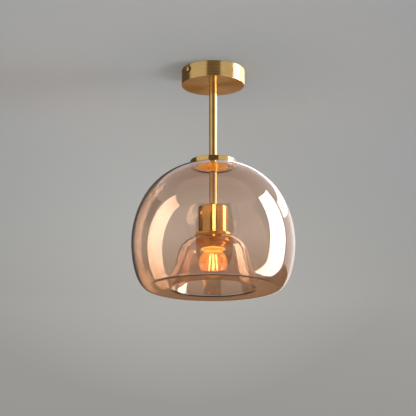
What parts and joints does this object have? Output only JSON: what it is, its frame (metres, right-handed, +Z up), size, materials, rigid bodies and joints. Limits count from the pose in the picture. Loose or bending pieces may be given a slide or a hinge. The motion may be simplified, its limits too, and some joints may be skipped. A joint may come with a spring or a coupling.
{
  "type": "semi flush ceiling light",
  "caption": "Semi flush ceiling light: a round brass canopy and short rod carry a lamp holder and a globe of smoked glass with an inner bell open to the room.",
  "frame": {"origin": "on the ceiling, at the centre of the canopy's rim and of the bracket's slots", "axes": "+Z up into the ceiling, +X along the crossbar through both side screws"},
  "size_m": [0.255, 0.255, 0.3558],
  "materials": {
    "brass": "polished and clear lacquered, a little warm",
    "zinc_steel": "zinc plated",
    "terminal_metal": "plain stamped and turned",
    "dark_washer": "moulded, slightly glossy",
    "terminal_plastic": "milky moulded",
    "porcelain": "white glaze",
    "silicone": "translucent, soft",
    "nickel_shell": "nickel plated, thin",
    "smoked_glass": "blown, warm grey tint, fire polished",
    "clear_glass": "clear, thin",
    "lamp_insulator": "black glassy insulator",
    "solder": "soldered tip, slightly dull",
    "filament": "yellow coated strip, glowing",
    "support_wire": "fine nickel wire",
    "brown_insulation": "soft insulation",
    "blue_insulation": "soft insulation",
    "green_yellow_insulation": "soft insulation"
  },
  "bodies": {
    "root": {"mounting_bracket": "zinc_steel", "canopy": "brass", "terminal_block": "terminal_plastic", "clamp_screws": "zinc_steel", "block_screws": "zinc_steel", "earth_screw": "terminal_metal", "earth_tags": "terminal_metal", "rod": "brass", "upper_nipple": "zinc_steel", "lower_nipple": "zinc_steel", "canopy_washer": "zinc_steel", "canopy_nut": "zinc_steel", "cup_nut": "zinc_steel", "wire_bushing": "silicone", "shade_cap": "brass", "cap_seal": "silicone", "cap_hub": "brass", "rod_collar": "brass", "grub_screw": "zinc_steel", "holder_cup": "brass", "holder_flange": "brass", "crown_seal": "silicone", "socket_sleeve": "brass", "socket_housing": "porcelain", "socket_insert": "porcelain", "screw_shell": "nickel_shell", "centre_contact": "terminal_metal", "terminal_posts": "terminal_metal", "live_lead": "brown_insulation", "neutral_lead": "blue_insulation", "earth_lead": "green_yellow_insulation"},
    "shade": {"shade_glass": "smoked_glass", "ring_seal": "silicone"},
    "ring": {"shade_ring": "brass"},
    "bulb_travel": {"bulb_tip_contact": "solder"},
    "bulb": {"bulb_glass": "clear_glass", "bulb_screw_cap": "nickel_shell", "bulb_insulator": "lamp_insulator", "bulb_stem": "clear_glass", "bulb_filaments": "filament", "bulb_supports": "support_wire"},
    "right_screw_travel": {"screw_washer_right": "dark_washer"},
    "right_screw": {"canopy_screw_right": "brass"},
    "left_screw_travel": {"screw_washer_left": "dark_washer"},
    "left_screw": {"canopy_screw_left": "brass"}
  },
  "joints": [
    {"name": "shade_out", "type": "slide", "parent": "root", "child": "shade", "axis": [0, 0, -1], "range_m": [0, 0.0075]},
    {"name": "shade_turn", "type": "hinge", "parent": "shade", "child": "ring", "pos_m": [0, 0, -0.2808], "axis": [0, 0, -1], "range_deg": [0, 1080.05]},
    {"name": "bulb_out", "type": "slide", "parent": "root", "child": "bulb_travel", "axis": [0, 0, -1], "range_m": [0, 0.01815]},
    {"name": "bulb_turn", "type": "hinge", "parent": "bulb_travel", "child": "bulb", "pos_m": [0, 0, -0.3155], "axis": [0, 0, -1], "range_deg": [0, 1800.05]},
    {"name": "right_screw_out", "type": "slide", "parent": "root", "child": "right_screw_travel", "axis": [1, 0, 0], "range_m": [0, 0.0049]},
    {"name": "right_screw_turn", "type": "hinge", "parent": "right_screw_travel", "child": "right_screw", "pos_m": [0.05, 0, -0.008], "axis": [1, 0, 0], "range_deg": [0, 2520.05]},
    {"name": "left_screw_out", "type": "slide", "parent": "root", "child": "left_screw_travel", "axis": [-1, 0, 0], "range_m": [0, 0.0049]},
    {"name": "left_screw_turn", "type": "hinge", "parent": "left_screw_travel", "child": "left_screw", "pos_m": [-0.05, 0, -0.008], "axis": [-1, 0, 0], "range_deg": [0, 2520.05]}
  ],
  "couplings": [
    {"joint": "shade_turn", "follows": "shade_out", "rad_per_m": 2513.3},
    {"joint": "bulb_turn", "follows": "bulb_out", "rad_per_m": 1731.4},
    {"joint": "right_screw_turn", "follows": "right_screw_out", "rad_per_m": 8976},
    {"joint": "left_screw_turn", "follows": "left_screw_out", "rad_per_m": 8976}
  ]
}
